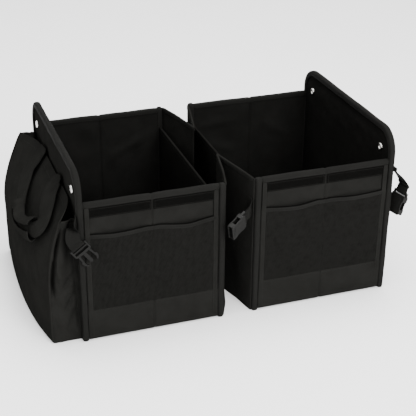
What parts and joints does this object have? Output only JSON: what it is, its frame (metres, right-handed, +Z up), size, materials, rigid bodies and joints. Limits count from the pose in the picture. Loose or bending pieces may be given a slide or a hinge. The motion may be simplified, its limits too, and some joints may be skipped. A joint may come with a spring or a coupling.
{
  "type": "car trunk organizer",
  "caption": "Folding car trunk organizer: open board-stiffened cloth boxes with mesh pockets, an inward-folded middle, a bellows end pocket, carry handles, snaps and side-release buckles.",
  "frame": {"origin": "middle of the bounding box at the base, on the floor", "axes": "+X along the row of boxes, away from the bellows pocket; +Z up; the mesh pockets face -Y"},
  "size_m": [0.6898, 0.4426, 0.318],
  "materials": {
    "black_cloth": "matte",
    "pocket_mesh": "matte",
    "binding_tape": "matte",
    "webbing": "matte",
    "hook_tape": "matte",
    "base_board": "matte",
    "buckle_plastic": "satin",
    "snap_nickel": "polished"
  },
  "bodies": {
    "organizer": {"back_gusset": "black_cloth", "end_pocket_back_gusset": "black_cloth", "end_pocket_front_gusset": "black_cloth", "end_pocket_panel": "black_cloth", "front_gusset": "black_cloth", "left_back_rim": "binding_tape", "left_back_snap_cap": "snap_nickel", "left_back_snap_ring": "snap_nickel", "left_back_strap": "webbing", "left_back_wall": "black_cloth", "left_base_board": "base_board", "left_end_binding": "binding_tape", "left_end_wall": "black_cloth", "left_floor": "black_cloth", "left_front_rim": "binding_tape", "left_front_snap_cap": "snap_nickel", "left_front_snap_ring": "snap_nickel", "left_front_strap": "webbing", "left_front_wall": "black_cloth", "left_handle": "black_cloth", "left_hook_tape_a": "hook_tape", "left_hook_tape_b": "hook_tape", "left_inner_back_post": "binding_tape", "left_inner_front_post": "binding_tape", "left_inner_wall": "black_cloth", "left_mesh_mouth_tape": "binding_tape", "left_mesh_pocket": "pocket_mesh", "left_pocket_band": "black_cloth", "middle_back_strap": "webbing", "middle_floor": "black_cloth", "middle_front_strap": "webbing", "right_back_rim": "binding_tape", "right_back_snap_cap": "snap_nickel", "right_back_snap_ring": "snap_nickel", "right_back_strap": "webbing", "right_back_wall": "black_cloth", "right_base_board": "base_board", "right_end_binding": "binding_tape", "right_end_wall": "black_cloth", "right_floor": "black_cloth", "right_front_rim": "binding_tape", "right_front_snap_cap": "snap_nickel", "right_front_snap_ring": "snap_nickel", "right_front_strap": "webbing", "right_front_wall": "black_cloth", "right_handle": "black_cloth", "right_hook_tape_a": "hook_tape", "right_hook_tape_b": "hook_tape", "right_inner_back_post": "binding_tape", "right_inner_front_post": "binding_tape", "right_inner_wall": "black_cloth", "right_mesh_mouth_tape": "binding_tape", "right_mesh_pocket": "pocket_mesh", "right_pocket_band": "black_cloth"},
    "left_back_buckle": {"left_back_buckle": "buckle_plastic"},
    "left_front_buckle": {"left_front_buckle": "buckle_plastic"},
    "middle_back_buckle": {"middle_back_buckle": "buckle_plastic"},
    "middle_front_buckle": {"middle_front_buckle": "buckle_plastic"},
    "right_back_buckle": {"right_back_buckle": "buckle_plastic"},
    "right_front_buckle": {"right_front_buckle": "buckle_plastic"}
  },
  "joints": [
    {"name": "left_front_buckle_swing", "type": "hinge", "parent": "organizer", "child": "left_front_buckle", "pos_m": [-0.26824, -0.195, 0.193], "axis": [-0.8, 0, -0.6], "range_deg": [-3, 140]},
    {"name": "left_back_buckle_swing", "type": "hinge", "parent": "organizer", "child": "left_back_buckle", "pos_m": [-0.26824, 0.195, 0.193], "axis": [0.8, 0, 0.6], "range_deg": [-3, 140]},
    {"name": "middle_front_buckle_swing", "type": "hinge", "parent": "organizer", "child": "middle_front_buckle", "pos_m": [0.02476, -0.194, 0.198], "axis": [-0.2242, -0.3303, 0.9169], "range_deg": [-20, 120]},
    {"name": "middle_back_buckle_swing", "type": "hinge", "parent": "organizer", "child": "middle_back_buckle", "pos_m": [0.02476, 0.194, 0.198], "axis": [0.2242, -0.3303, -0.9169], "range_deg": [-20, 120]},
    {"name": "right_front_buckle_swing", "type": "hinge", "parent": "organizer", "child": "right_front_buckle", "pos_m": [0.33726, -0.179, 0.193], "axis": [0.2413, -0.9704, -0.0101], "range_deg": [-4, 120]},
    {"name": "right_back_buckle_swing", "type": "hinge", "parent": "organizer", "child": "right_back_buckle", "pos_m": [0.33726, 0.179, 0.193], "axis": [-0.2413, -0.9704, 0.0101], "range_deg": [-4, 120]}
  ]
}
